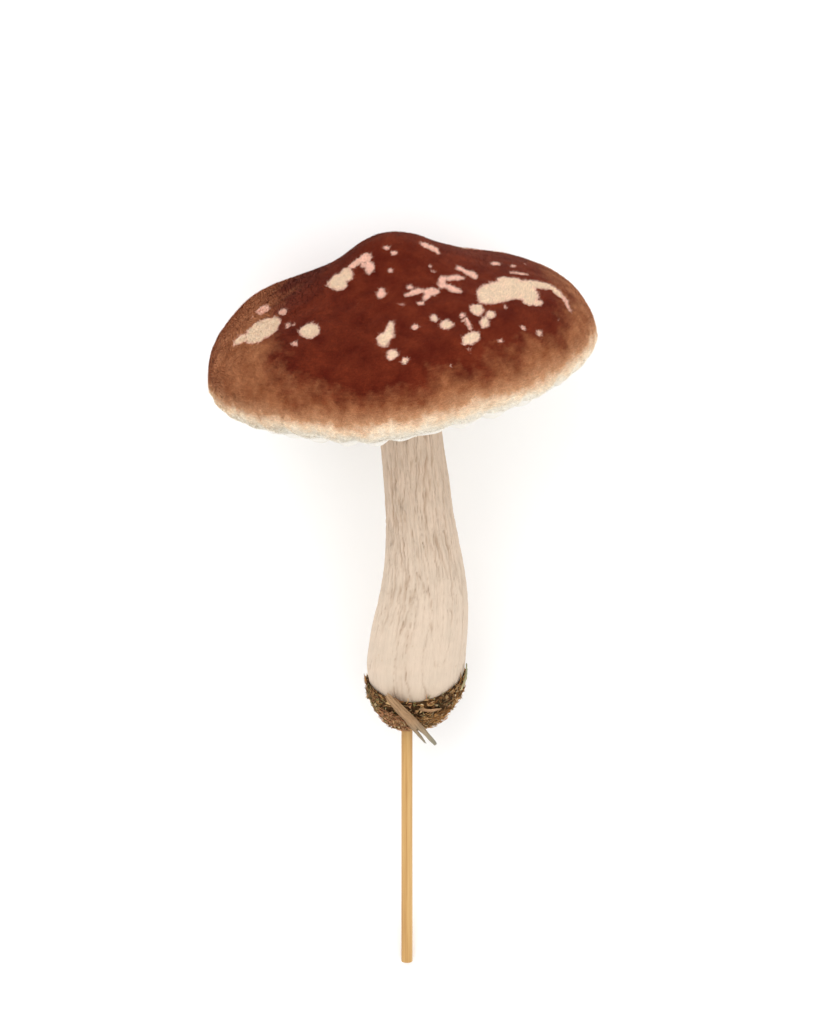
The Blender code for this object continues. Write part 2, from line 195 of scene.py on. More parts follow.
def along(route, shares):  # points of a smooth curve through the route's points
    points = np.array(route, float)
    at = np.clip(shares, 0, 1) * (len(points) - 1)
    i = np.minimum(at.astype(int), len(points) - 2)
    before, after = points[np.maximum(i - 1, 0)], points[np.minimum(i + 2, len(points) - 1)]
    return cubic((at - i)[:, None], points[i], points[i + 1], (points[i + 1] - before) / 2, (after - points[i]) / 2)


def evenly(radius, height, count):  # points at even steps along an outline, and how far along each one is
    reach = np.append(0, np.cumsum(np.hypot(np.diff(radius), np.diff(height))))
    even = np.linspace(0, reach[-1], count)
    return np.interp(even, reach, radius), np.interp(even, reach, height), even


def columns(*parts):
    return np.stack(parts, axis=1)


def goingRound(bearing, third):  # coordinates without a seam at the back
    return columns(10 * np.cos(bearing), 10 * np.sin(bearing), third)


def unit(vectors):
    return vectors / np.maximum(np.linalg.norm(vectors, axis=-1, keepdims=True), 1e-12)


# what the materials share

def addNode(tree, kind, links=None, **settings):  # links: {input: a socket or a fixed value}
    made = tree.nodes.new("ShaderNode" + kind)
    for key, value in settings.items():
        setattr(made, key, value)
    for key, value in (links or {}).items():
        if isinstance(value, bpy.types.NodeSocket):
            tree.links.new(value, made.inputs[key])
        else:
            made.inputs[key].default_value = value
    made.location = (len(tree.nodes) % 9 * 190, -(len(tree.nodes) // 9) * 260)
    return made


def sumOf(tree, first, second, operation="ADD", third=None):
    links = {0: first, 1: second}
    if third is not None:
        links[2] = third
    return addNode(tree, "Math", links, operation=operation).outputs[0]


def rangeOf(tree, value, fromMin=0.0, fromMax=1.0, toMin=0.0, toMax=1.0):
    links = {"Value": value, "From Min": fromMin, "From Max": fromMax, "To Min": toMin, "To Max": toMax}
    return addNode(tree, "MapRange", links).outputs[0]


def blendOf(tree, factor, low, high, **settings):
    return addNode(tree, "Mix", {"Factor": factor, 6: low, 7: high}, data_type="RGBA", **settings).outputs[2]


def streaksOf(tree, vector, stretch, detail, contrast):  # fine lines that run the way of the least stretch
    stretched = addNode(tree, "VectorMath", {0: vector, 1: stretch}, operation="MULTIPLY").outputs[0]
    fine = addNode(tree, "TexNoise", {"Vector": stretched, "Scale": 1.0, "Detail": detail, "Roughness": 0.62})
    strong = sumOf(tree, sumOf(tree, fine.outputs["Fac"], 0.5, "SUBTRACT"), contrast, "MULTIPLY")
    return addNode(tree, "Math", {0: strong, 1: 0.5}, operation="ADD", use_clamp=True).outputs[0]


def mottleOf(tree, vector, size, light, dark, balance=0.0):  # soft patches of two colours, and how light each spot is
    patches = addNode(tree, "TexNoise", {"Vector": vector, "Scale": size, "Detail": 5.0, "Roughness": 0.6,
                                         "Distortion": 0.3})
    share = rangeOf(tree, sumOf(tree, patches.outputs["Fac"], balance), 0.3, 0.7)
    return blendOf(tree, share, dark, light), share


def paint(tree, shader, tint, strength=None):  # into Base Color, each spot made lighter or darker by strength
    if strength is not None:
        tint = addNode(tree, "VectorMath", {0: tint, 1: strength}, operation="MULTIPLY").outputs[0]
    tree.links.new(tint, shader.inputs["Base Color"])


def newMaterial(name, **shaderSettings):
    material = bpy.data.materials.new(name)
    material.use_nodes = True
    shader = material.node_tree.nodes["Principled BSDF"]
    for key, value in shaderSettings.items():
        shader.inputs[key.replace("_", " ")].default_value = value
    return material, material.node_tree, shader


def colour(red, green, blue):  # from the 0 to 255 that a colour picker shows
    channels = [c / 255 for c in (red, green, blue)]
    return (*[c / 12.92 if c <= 0.04045 else ((c + 0.055) / 1.055) ** 2.4 for c in channels], 1)


def rampOf(tree, factor, stops):
    ramp = addNode(tree, "ValToRGB", {"Fac": factor})
    elements = ramp.color_ramp.elements
    while len(elements) < len(stops):
        elements.new(0.5)
    for element, (place, tint) in zip(elements, stops):
        element.position = place
        element.color = tint
    return ramp.outputs["Color"]


def readValue(tree, name, output="Fac"):
    return addNode(tree, "Attribute", attribute_name=name).outputs[output]


def placeOf(tree):
    return addNode(tree, "TexCoord").outputs["Object"]


def bumpFrom(tree, shader, height, strength, distance):
    bump = addNode(tree, "Bump", {"Height": height, "Strength": strength, "Distance": distance})
    tree.links.new(bump.outputs["Normal"], shader.inputs["Normal"])


# camera and studio

view = {"x": 1.9, "y": 25.5, "height": 50, "tall": 286.72, "lens": 300, "sensor": 36}  # mm
studio = {"sky": 1.12, "key": 6.0, "fill": 3.0}


def setStudio():
    deselectAll()
    away = view["tall"] * view["lens"] / view["sensor"]
    spot = Vector((view["x"], view["y"], view["height"] + away)) * mm
    bpy.ops.object.camera_add(location=spot, rotation=(0, 0, 0))
    camera = takeNew("overheadCamera")
    camera.data.lens = view["lens"]
    camera.data.sensor_width = view["sensor"]
    camera.data.clip_end = 20
    bpy.context.scene.camera = camera

    bpy.ops.mesh.primitive_plane_add(size=6, location=(0, 0, 0))
    floor = takeNew("studioFloor")
    material, tree, shader = newMaterial("paleFloor", Roughness=0.9, Specular_IOR_Level=0.1)
    paint(tree, shader, mottleOf(tree, placeOf(tree), 3.0, (0.97, 0.97, 0.965, 1), (0.955, 0.955, 0.95, 1))[0])
    floor.data.materials.append(material)

    sky = bpy.data.worlds.new("softSky")
    bpy.context.scene.world = sky
    sky.use_nodes = True
    glow = sky.node_tree.nodes["Background"].inputs
    glow["Color"].default_value, glow["Strength"].default_value = (1, 1, 1, 1), studio["sky"]
    for name, energy, size, spot in (
        ("keyPanel", studio["key"], 1.2, (-0.5, 0.7, 1.3)),
        ("fillPanel", studio["fill"], 1.4, (0.9, -0.2, 1.2)),
    ):
        aim = (Vector((0, 0.03, 0.04)) - Vector(spot)).to_track_quat("-Z", "Y").to_euler()
        bpy.ops.object.light_add(type="AREA", location=spot, rotation=aim)
        light = takeNew(name)
        light.data.energy = energy
        light.data.size = size
    bpy.context.scene.view_settings.view_transform = "Standard"


# the velvet cap

def domeHeight(radius):
    inner, outer = capShape["domePowers"]
    share = np.clip(1 - (radius / capShape["radius"]) ** inner, 0, 1)
    return capShape["dome"] * share**outer + capShape["knob"] * np.exp(-((radius / capShape["knobReach"]) ** 2))


def capOutline(count):  # radius, height and distance along the cloth, from the crown to the turned-in edge
    sweep = np.linspace(0, math.pi / 2, 700)
    radius = capShape["radius"] * np.sin(sweep)
    height = domeHeight(radius)
    curl = np.linspace(0, math.radians(capShape["edgeTurn"]), 150)[1:]
    radius = np.append(radius, capShape["radius"] - capShape["edgeWidth"] * (1 - np.cos(curl)))
    height = np.append(height, domeHeight(capShape["radius"]) - capShape["edgeDrop"] * np.sin(curl))
    return evenly(radius, height, count)


def lobed(points):  # the cap isn't quite round, and its edge isn't quite level
    bearing = np.arctan2(points[:, 1], points[:, 0])
    far = np.minimum(1, np.hypot(points[:, 0], points[:, 1]) / capShape["radius"])
    swell = 1 + far * (0.008 * np.cos(2 * bearing + 0.6) + 0.006 * np.cos(3 * bearing - 1.0))
    rise = 0.5 * np.cos(2 * bearing - 0.8) * far**2
    for x, y, spread, height in capShape["bulges"]:
        away = np.hypot(points[:, 0] - x, points[:, 1] - y) / spread
        rise += height * np.exp(-(away**2))
    return columns(points[:, 0] * swell, points[:, 1] * swell, points[:, 2] + rise)


def pleatPhase(bearing):  # uneven gathers
    return bearing * capShape["pleats"] + 0.9 * np.sin(3 * bearing) + 0.7 * np.sin(5 * bearing + 1.3)


def puffs(bearing):  # from 0 in a gather's valley to 1 on its round back
    full = np.abs(np.cos(pleatPhase(bearing) / 2)) ** 0.8
    calm = np.exp(-(((np.degrees(bearing) + 87) / 10) ** 2))  # pulled flat where it meets the stem's front
    return full + (0.62 - full) * 0.85 * calm


# the dabs of pale paint: bearing, distance from the crown, length, width, turn (degrees and mm)
creamDabs = [
    (-29, 39, 20.5, 9.5, 55), (-37, 37.5, 12, 6.5, 75), (-16, 38, 8, 4, 35), (-11, 45.5, 10, 5, 25),  # the widest
    (-10, 51, 7, 3.4, 130), (-23, 46, 11.5, 5, 80), (-22, 43, 13, 7, 60),
    (-16, 42, 8.5, 5, 40), (-25, 49, 4.4, 2.5, 55), (-43, 39, 3.6, 2.6, 35),
    (-158, 43.5, 15, 9, 120), (-157, 46.5, 11.5, 6, 118),  # the left one, with its tail
    (-164, 50, 6.5, 4.4, 125), (-156, 39.5, 7.5, 3, 105),
    (-130, 39.5, 8.5, 5.8, 120),
    (-139, 20.5, 9, 5.5, 120), (-135, 17.5, 7, 3.8, 110), (-131, 21.5, 3.8, 2, 125),  # upper left
    (-94, 42.5, 5.4, 4, 95), (-92, 40.5, 5, 3, 90), (-91, 38.5, 5.8, 2.5, 80), (-91, 48, 3.5, 3.2, 0),
    (-87, 51, 2.2, 1.9, 0),
    (-70, 38.5, 2.9, 2.4, 85), (-67, 42.5, 4.4, 3.6, 75),
    (-50, 41, 5.2, 4, 75), (-48, 45, 4, 2.8, 65), (-53, 46.5, 4.6, 2.3, 75), (-62, 50, 7, 4, 45),
    (-38, 57, 3, 2, 75),
]
roseDabs = [
    (-13, 54.5, 9.3, 1.6, 110), (-5, 40, 5.5, 1.6, 15), (2, 33, 4.3, 2.2, 65), (4, 38, 3, 1.4, 75),
    (-131, 13, 5.4, 3.2, 5), (-120, 11, 4, 3.2, 140), (-110, 14.5, 4.8, 2.8, 85), (-120, 13.5, 2.5, 1.7, 125),
    (-178, 40, 7.5, 4, 105), (-159, 36, 5, 2.2, 110), (-145, 39.5, 3.2, 1.3, 100), (-132, 45.5, 2.8, 1.6, 110),
    (-142, 38.5, 1.2, 0.8, 0), (-95, 24.5, 3.6, 2.3, 75), (-83, 7.5, 2, 1.4, 155), (-73, 10, 1.7, 1.5, 0),
    (-86, 16.5, 0.9, 0.8, 0), (-15, 14, 6.2, 3.4, 160), (-14, 15.5, 4.4, 2.4, 110),
    (-73, 26.5, 6, 1.5, 20), (-62, 28, 5.2, 3, 0), (-67, 29.5, 4.8, 1.7, 60), (-69, 26, 2, 1.2, 120),  # the branch
    (-74, 24, 1.9, 1.7, 0), (-72, 31.5, 1.8, 1.6, 0), (-83, 30.5, 1.1, 0.9, 0),
    (-41, 26, 8.5, 2.4, 25), (-49, 30, 5.4, 3, 150), (-51, 26.5, 4.6, 2, 85), (-48, 31.5, 2.6, 1.8, 35),  # the hook
    (-25, 27, 7, 2.8, 155), (-25, 29, 4.5, 2.4, 95), (-25, 24.5, 2.8, 1.6, 70),
    (-80, 40, 2, 1.7, 0), (-59, 45, 5.4, 1.1, 100), (-58, 41, 1.9, 1.4, 65), (-60, 43, 1.2, 0.9, 0),
    (-39, 44.5, 1.8, 1.2, 70), (-53, 54, 1.7, 1.3, 45), (-73, 56.5, 1.1, 1, 0), (-65, 53.5, 1.1, 0.9, 0),
    (-42, 53.5, 1.1, 0.8, 0),
]
paintDabs = {"spatter": 14, "backDabs": 20}  # tiny flecks all over, and more dabs on the far side


def dabList():
    found = [(*dab, 1.0) for dab in creamDabs] + [(*dab, 0.0) for dab in roseDabs]
    throw = np.random.default_rng(21)
    for _ in range(paintDabs["backDabs"]):
        long = 1.6 + 11 * throw.random() ** 3
        found.append((throw.uniform(40, 140), throw.uniform(26, 58), long, long * throw.uniform(0.45, 0.9),
                      throw.uniform(0, 180), throw.random()))
    for _ in range(paintDabs["spatter"]):
        size = throw.uniform(0.45, 0.8)
        found.append((throw.uniform(-180, 180), throw.uniform(6, 60), size, size, 0, 0.0))
    return found


def paintSpots(across, along):  # how far outside the nearest dab each spot of cloth is, in mm, and its tone
    nearest = np.full(len(across), 50.0)
    tone = np.zeros(len(across))
    for bearing, reach, long, wide, turn, cream in dabList():
        bearing, turn = math.radians(bearing), math.radians(turn)
        dx = across - reach * math.cos(bearing)
        dy = along - reach * math.sin(bearing)
        u = (dx * math.cos(turn) + dy * math.sin(turn)) / (long / 2)
        v = (dy * math.cos(turn) - dx * math.sin(turn)) / (wide / 2)
        k = np.sqrt(u * u + v * v) + 1e-6
        slope = np.sqrt((u / (long / 2)) ** 2 + (v / (wide / 2)) ** 2) / k + 1e-6
        away = (k - 1) / slope
        closer = away < nearest
        nearest[closer] = away[closer]
        tone[closer] = cream
    return nearest, tone


coreEdge = {  # how far from the crown the dark red ends, by bearing
    -180: 34, -165: 39, -150: 44, -138: 52, -125: 59, -100: 63, -80: 60, -55: 60, -30: 60, -12: 55,
    0: 49, 30: 51, 60: 58, 90: 60, 120: 54, 150: 39,
}


def pastCore(bearing, reach):
    ends = np.interp(np.degrees(bearing), list(coreEdge), list(coreEdge.values()), period=360)
    return reach - ends


velvet = {
    "rings": 168, "columns": 470, "thickness": 1.5, "innerRings": 12,
    "gathered": (61, 76),  # how far from the crown the gathers begin, and where they are full
    "gather": 1.25, "crumple": 0.22, "wave": 0.3, "ripple": 0.14, "nap": 0.09,
}


def makeVelvet():
    radius, height, reach = capOutline(velvet["rings"])
    outer = columns(radius, height)
    slope = unit(np.gradient(outer, axis=0))
    outward = columns(-slope[:, 1], slope[:, 0])
    outward[0] = (0, 1)
    back = np.linspace(velvet["rings"] - 1, 0, velvet["innerRings"]).round().astype(int)
    inside = outer[back] - velvet["thickness"] * outward[back]
    inside[-1, 0] = 0
    outline = np.vstack([outer, inside])

    deselectAll()
    bpy.ops.mesh.primitive_plane_add(size=1, location=(0, 0, 0))
    piece = takeNew("capVelvet")
    bpy.ops.object.mode_set(mode="EDIT")
    bpy.ops.mesh.merge(type="CENTER")
    bpy.ops.transform.translate(value=(outline[0, 0], 0, outline[0, 1]))
    for step in np.diff(outline, axis=0):
        bpy.ops.mesh.extrude_region_move(TRANSFORM_OT_translate={"value": (step[0], 0, step[1])})
    bpy.ops.mesh.select_all(action="SELECT")
    bpy.ops.mesh.spin(steps=velvet["columns"], angle=2 * math.pi, center=(0, 0, 0), axis=(0, 0, 1))
    bpy.ops.object.mode_set(mode="OBJECT")
    weld(piece, 0.004)

    points = getPoints(piece)
    bearing = np.arctan2(points[:, 1], points[:, 0])
    flat = columns(np.hypot(points[:, 0], points[:, 1]), points[:, 2])
    gap = ((flat[:, None, :] - outer[None, :, :]) ** 2).sum(axis=2)
    nearest = gap.argmin(axis=1)
    onTop = np.sqrt(gap.min(axis=1)) < velvet["thickness"] / 2
    out = outward[nearest]
    normal = columns(out[:, 0] * np.cos(bearing), out[:, 0] * np.sin(bearing), out[:, 1])
    far = reach[nearest]
    gather = velvet["gather"] * (puffs(bearing) - 0.72) + velvet["crumple"] * wander(points, 2.2, 3)
    bulge = velvet["wave"] * wander(points, 9, 1) + velvet["ripple"] * wander(points, 3.2, 2)
    bulge += ease(far, *velvet["gathered"]) * gather
    bulge += velvet["nap"] * wander(points, 0.9, 4)
    points = lobed(points + normal * (bulge * onTop)[:, None])
    setPoints(piece, points)

    cloth = columns(far * np.cos(bearing), far * np.sin(bearing), np.zeros(len(far)))
    nearestDab, tone = paintSpots(cloth[:, 0], cloth[:, 1])
    for name, values in {
        "cloth": cloth, "wound": goingRound(bearing, far), "pastCore": pastCore(bearing, far), "reach": far,
        "dab": nearestDab, "dabTone": tone, "outside": onTop.astype(float),
    }.items():
        setValues(piece, name, values)
    putPiece(piece, onCap)
    keepAbove(piece, 0.15)
    return piece


velvetFinish = {
    "coreLight": colour(115, 45, 25), "coreDark": colour(81, 19, 9),
    "bodyLight": colour(173, 113, 76), "bodyDark": colour(136, 75, 43),
    "cream": colour(225, 202, 175), "rose": colour(229, 186, 167),
    "bare": [
        (0.0, colour(166, 108, 72)), (0.28, colour(198, 150, 112)), (0.43, colour(234, 212, 184)),
        (0.58, colour(238, 230, 215)), (0.8, colour(242, 238, 229)), (1.0, colour(243, 241, 234)),
    ],
}


def velvetMaterial(name, tips=False):
    material, tree, shader = newMaterial(name, Roughness=0.95, Specular_IOR_Level=0.08, Sheen_Weight=0.1,
                                         Sheen_Roughness=0.4, Sheen_Tint=(1.0, 0.72, 0.58, 1))
    cloth = readValue(tree, "cloth", "Vector")
    napLines = streaksOf(tree, readValue(tree, "wound", "Vector"), (1.3, 1.3, 2.4), 3.0, 1.9)
    clouds = streaksOf(tree, cloth, (0.085, 0.085, 0.085), 5.0, 2.2)
    patches = streaksOf(tree, cloth, (0.3, 0.3, 0.3), 4.0, 2.0)
    crumbs = streaksOf(tree, cloth, (1.3, 1.3, 1.3), 3.0, 1.8)

    def shifted(value, *parts):  # each part wanders by up to half its amount either way
        for noiseValue, amount in parts:
            value = sumOf(tree, noiseValue, amount, "MULTIPLY_ADD", sumOf(tree, value, amount / 2, "SUBTRACT"))
        return value

    # dark red crown, brown flank, then the bare cream at the edge
    core = mottleOf(tree, cloth, 0.13, velvetFinish["coreLight"], velvetFinish["coreDark"], 0.04)[0]
    flank = mottleOf(tree, cloth, 0.2, velvetFinish["bodyLight"], velvetFinish["bodyDark"], 0.03)[0]
    leaving = shifted(readValue(tree, "pastCore"), (clouds, 11.0), (patches, 5.0), (napLines, 2.0))
    sprayed = blendOf(tree, rangeOf(tree, leaving, -4.5, 5.5), core, flank)
    edging = shifted(readValue(tree, "reach"), (clouds, 3.0), (patches, 2.4), (crumbs, 1.0))
    bare = rampOf(tree, rangeOf(tree, edging, 62.8, 80), velvetFinish["bare"])
    body = blendOf(tree, rangeOf(tree, edging, 63.0, 68.0), sprayed, bare)
    # pale paint with ragged edges that follow the pile, and a rosy line round each cream dab
    edge = shifted(readValue(tree, "dab"), (crumbs, 1.3), (patches, 1.3), (napLines, 0.4))
    tone = addNode(tree, "Clamp", {0: shifted(readValue(tree, "dabTone"), (patches, 0.7))}).outputs[0]
    creamShare = sumOf(tree, tone, rangeOf(tree, edge, -0.15, -0.75), "MULTIPLY")
    dab = blendOf(tree, creamShare, velvetFinish["rose"], velvetFinish["cream"])
    strands = rangeOf(tree, napLines, 0, 1, 0.86, 1.13)  # light and dark strands
    if tips:
        # each pile strand gets its own tone between 0.8 and 1.5 times, and the average lift of 1.15 is painted light
        # that makes up for the shade the strands cast on each other and on the cloth
        strands = sumOf(tree, strands, rangeOf(tree, readValue(tree, "strand"), 0, 1, 0.8, 1.5), "MULTIPLY")
    else:
        bumpFrom(tree, shader, napLines, 0.5, 0.3 * mm)
    paint(tree, shader, blendOf(tree, rangeOf(tree, edge, 0.22, -0.22), body, dab), strands)
    return material


pile = {
    "strands": 195000, "length": 0.85, "width": 0.11, "lean": 2.1, "pieces": 2,
    "carried": ["cloth", "wound", "pastCore", "reach", "dab", "dabTone"],  # what it takes over from the cloth
}


def sampleFaces(piece, count, rng, keep=None):
    # points spread evenly by area over the faces that keep allows, with their normals and nearest vertex
    mesh = piece.data
    mesh.calc_loop_triangles()
    corners = np.empty(len(mesh.loop_triangles) * 3, int)
    mesh.loop_triangles.foreach_get("vertices", corners)
    corners = corners.reshape(-1, 3)
    points = getPoints(piece)
    a, b, c = (points[corners[:, i]] for i in range(3))
    cross = np.cross(b - a, c - a)
    area = np.linalg.norm(cross, axis=1)
    normals = cross / np.maximum(area, 1e-16)[:, None]
    if keep is not None:
        area = area * keep((a + b + c) / 3, normals, corners)
    picked = rng.choice(len(area), count, p=area / area.sum())
    u, v = rng.random(count), rng.random(count)
    flip = u + v > 1
    u[flip], v[flip] = 1 - u[flip], 1 - v[flip]
    spots = a[picked] + u[:, None] * (b - a)[picked] + v[:, None] * (c - a)[picked]
    weights = columns(1 - u - v, u, v)
    return spots, normals[picked], corners[picked], weights


def growPile(name, base, rng, keep):
    count = pile["strands"]
    spots, normals, corners, weights = sampleFaces(base, count, rng, keep)
    middle = np.array(onCap.translation)
    outward = np.array(onCap.to_3x3().col[2])
    around = unit(np.cross(np.broadcast_to(outward, normals.shape), spots - middle))
    down = unit(np.cross(normals, around))
    turn = rng.normal(0.25, 0.75, count)
    brushed = around * np.cos(turn)[:, None] * np.sign(rng.random(count) - 0.28)[:, None]
    brushed += down * np.sin(turn)[:, None]
    rising = unit(normals + brushed * (pile["lean"] * rng.uniform(0.5, 1.4, count))[:, None])
    length = pile["length"] * mm * rng.uniform(0.65, 1.25, count)
    side = unit(np.cross(rising, normals + 0.3 * brushed)) * (pile["width"] * mm / 2)
    tip = spots + rising * length[:, None]
    tip[:, 2] = np.maximum(tip[:, 2], 0.05 * mm)
    facing = np.einsum("ij,ij->i", np.cross(side, rising), normals)
    side *= np.sign(facing)[:, None]  # every strand shows its face outwards
    points = columns(spots - side, spots + side, tip).reshape(-1, 3)
    piece = newPiece(name, points, np.arange(count * 3).reshape(-1, 3), shade_flat=False)
    piece.data.normals_split_custom_set_from_vertices(np.repeat(normals, 3, axis=0))  # lit like the cloth under it
    for key in pile["carried"]:
        source = base.data.attributes[key]
        wide = 1 if source.data_type == "FLOAT" else 3
        values = np.empty(len(base.data.vertices) * wide)
        source.data.foreach_get("value" if wide == 1 else "vector", values)
        values = values.reshape(-1, wide)[corners]
        here = (values * weights[:, :, None]).sum(axis=1)
        if key == "wound":  # a bearing's seam has none of its own
            here[:, :2] = unit(here[:, :2]) * 10
        setValues(piece, key, np.repeat(here, 3, axis=0).squeeze())
    setValues(piece, "strand", np.repeat(rng.random(count), 3))
    return piece


# the white gathered cloth under the cap

gills = {"columns": 416, "rows": 26, "inner": 9.6, "outer": 50.4, "depth": 1.8, "thickness": 0.9, "top": -5.9}


def makeGills():
    deselectAll()
    bpy.ops.mesh.primitive_grid_add(x_subdivisions=gills["columns"], y_subdivisions=gills["rows"], size=2)
    piece = takeNew("gillCloth")
    points = getPoints(piece)
    bearing = points[:, 0] * math.pi
    share = (points[:, 1] + 1) / 2
    radius = gills["inner"] + (gills["outer"] - gills["inner"]) * share
    wave = puffs(bearing)
    depth = gills["depth"] * np.minimum(1, 0.3 + share)
    height = gills["top"] - depth * wave - 0.9 * share * wave - 0.35 * share
    radius = radius - 1.1 * share * np.exp(-(((np.degrees(bearing) + 87) / 11) ** 2))
    tuck = ease(share, 0.84, 1.0)  # the edge turns up to meet the velvet
    height += tuck * (2.9 + 0.5 * wave)
    radius = radius - tuck * 1.3 * (1 - wave)
    height += 0.35 * ease(share, 0, 0.12) - 0.35
    ring = columns(radius * np.cos(bearing), radius * np.sin(bearing), height)
    ring[:, 2] += 0.22 * wander(ring, 2.6, 5) + 0.1 * wander(ring, 1.0, 6)
    setPoints(piece, lobed(ring))
    weld(piece, 0.002, outwards=False)
    if sum(face.normal.z * face.area for face in piece.data.polygons) > 0:
        piece.data.flip_normals()
    thick = piece.modifiers.new("clothThickness", "SOLIDIFY")
    thick.thickness = gills["thickness"]
    thick.offset = -1
    applyAll(piece)
    points = getPoints(piece)
    bearing = np.arctan2(points[:, 1], points[:, 0])
    setValues(piece, "cloth", points)
    # the material reads fold to paint shade into the gathers' valleys
    setValues(piece, "fold", puffs(bearing))
    putPiece(piece, onCap)
    keepAbove(piece, 0.3)
    return piece


# valley is a painted shade tone for the deep parts of the gathers
gillFinish = {"light": colour(238, 233, 224), "dark": colour(228, 219, 204), "valley": colour(218, 204, 184)}


def gillMaterial():
    material, tree, shader = newMaterial("gillPlush", Roughness=0.95, Specular_IOR_Level=0.1, Sheen_Weight=0.3,
                                         Sheen_Roughness=0.5)
    cloth = readValue(tree, "cloth", "Vector")
    lines = streaksOf(tree, cloth, (2.2, 2.2, 2.2), 3.0, 2.0)
    soft = mottleOf(tree, cloth, 0.35, gillFinish["light"], gillFinish["dark"], 0.12)[0]
    # painted shade: the colour darkens towards the valley tone down in each gather's valley
    deep = rangeOf(tree, readValue(tree, "fold"), 0.45, 0.05, 0, 0.75)
    paint(tree, shader, blendOf(tree, deep, soft, gillFinish["valley"]), rangeOf(tree, lines, 0, 1, 0.9, 1.06))
    bumpFrom(tree, shader, lines, 0.5, 0.3 * mm)
    return material


# the stem's fibre wrap

stem = {
    "lean": [(70, 1.4), (90, 2.8), (111, 4.8), (133, 3.4), (155, 1.0), (176, -1.1)],
    "radii": [(88, 13.9), (98, 13.5), (112, 11.7), (126, 10.0), (145, 9.1), (176, 8.8)],
    "foot": 71.5, "widest": 88, "top": 174.5, "thickness": 0.8, "hole": 1.95,
    "columns": 236, "rows": 205,
}
# the wrap's three kinds of wrinkles: depth, share of it on the bulb, sharpness, and what rumple takes
wrinkles = [(0.30, 0.35, 0.10, 9, 17, 7), (0.20, 0.3, 0.12, 17, 11, 8), (0.30, 1.0, 0.035, 3.6, 30, 9)]


def footPoint(turn, out=0.0):  # radius and height on the round foot, from its widest level to its pole
    wide = stem["radii"][0][1] + out
    deep = stem["widest"] - stem["foot"] + out
    return wide * np.cos(turn), stem["widest"] - deep * np.sin(turn)


def stemOutline(count):  # from the hole under the foot up to the top
    last = math.acos(stem["hole"] / stem["radii"][0][1])
    turns = np.linspace(last, 0, 160)
    radius, height = footPoint(turns)
    up = np.linspace(stem["widest"], stem["top"], 500)[1:]
    radius = np.append(radius, through(stem["radii"], up))
    return evenly(radius, np.append(height, up), count)


def makeWrap():
    radius, height, reach = stemOutline(stem["rows"])
    deselectAll()
    bpy.ops.mesh.primitive_grid_add(x_subdivisions=stem["columns"], y_subdivisions=stem["rows"] - 1, size=2)
    piece = takeNew("stemWrap")
    flat = getPoints(piece)
    bearing = flat[:, 0] * math.pi
    row = np.clip(((flat[:, 1] + 1) / 2 * (stem["rows"] - 1)).round().astype(int), 0, stem["rows"] - 1)
    level, run, thin = height[row], reach[row], radius[row]
    # fine wrinkles run up the stem: close and sharp at the top, broad and soft on the bulb
    drift = 0.09 * np.sin(level / 17) + 0.05 * np.sin(level / 7.3 + 2) + 0.012 * np.sin(level * 1.4 + 3 * bearing)
    turned = bearing + drift
    upper = ease(level, 88, 116)

    def rumple(across, lengthwise, seed):  # noise cells of 1/across of the radius, that long in mm
        return wander(columns(np.cos(turned) * across, np.sin(turned) * across, level / lengthwise), 1.0, seed)

    out = np.zeros(len(level))
    for depth, onBulb, sharpness, *cells in wrinkles:
        out -= depth * (onBulb + (1 - onBulb) * upper) * np.exp(-((rumple(*cells) / sharpness) ** 2))
    out += 0.10 * rumple(14, 2.6, 10) * (0.4 + upper) + 0.28 * rumple(2, 40, 11)
    # one deeper overlap where the wrap's edge was glued down, near the top of the front
    seamBearing = np.radians(-62 + 16 * ease(level, 166, 158) + 6 * np.sin(level / 9))
    offSeam = (np.angle(np.exp(1j * (bearing - seamBearing)))) * thin
    seam = np.exp(-((offSeam / 0.16) ** 2)) * ease(level, 146, 158) * 0.75
    out += 0.22 * ease(offSeam, 0.2, 0.6) * ease(offSeam, 4.0, 0.8) * ease(level, 138, 150) - 0.3 * seam
    squeezed = 1 - ease(level, 74, stem["foot"])  # calm round the hole
    out = out * squeezed
    slope = unit(np.gradient(columns(radius, height), axis=0))
    outward = columns(slope[:, 1], -slope[:, 0])[row]
    r = thin + out * outward[:, 0]
    z = level + out * outward[:, 1]
    points = columns(r * np.cos(bearing) + through(stem["lean"], level), r * np.sin(bearing), z)
    setPoints(piece, points)
    weld(piece, 0.002, outwards=False)
    middle = getPoints(piece).mean(axis=0)
    facing = sum(f.area * (f.normal.x * (f.center.x - middle[0]) + f.normal.y * f.center.y)
                 for f in piece.data.polygons)
    if facing < 0:
        piece.data.flip_normals()
    # what the material reads: where on the wrap, how deep in a fold, which sets the painted shade in the creases, and
    # how high up
    welded = getPoints(piece)
    around = np.arctan2(welded[:, 1], welded[:, 0] - through(stem["lean"], welded[:, 2]))
    lookUp = {tuple(point): i for i, point in enumerate(points.round(3))}
    index = np.array([lookUp.get(tuple(point), 0) for point in welded.round(3)])
    setValues(piece, "paper", goingRound(around, run[index]))
    setValues(piece, "crease", out[index])
    setValues(piece, "seam", seam[index])
    thick = piece.modifiers.new("paperThickness", "SOLIDIFY")
    thick.thickness = stem["thickness"]
    thick.offset = -1
    applyAll(piece)
    putPiece(piece, lying)
    return piece


wrapFinish = {
    # the top tone is paler than the paper itself: painted light that lifts the shadow the cap casts on the top of the
    # stem
    "bulb": colour(213, 195, 176), "mid": colour(209, 188, 168), "top": colour(240, 221, 203),
    # fold is a painted shade tone for the creases
    "fold": colour(160, 130, 104), "foot": colour(200, 176, 148), "fibre": colour(176, 148, 124),
    "seam": colour(128, 102, 82),
}


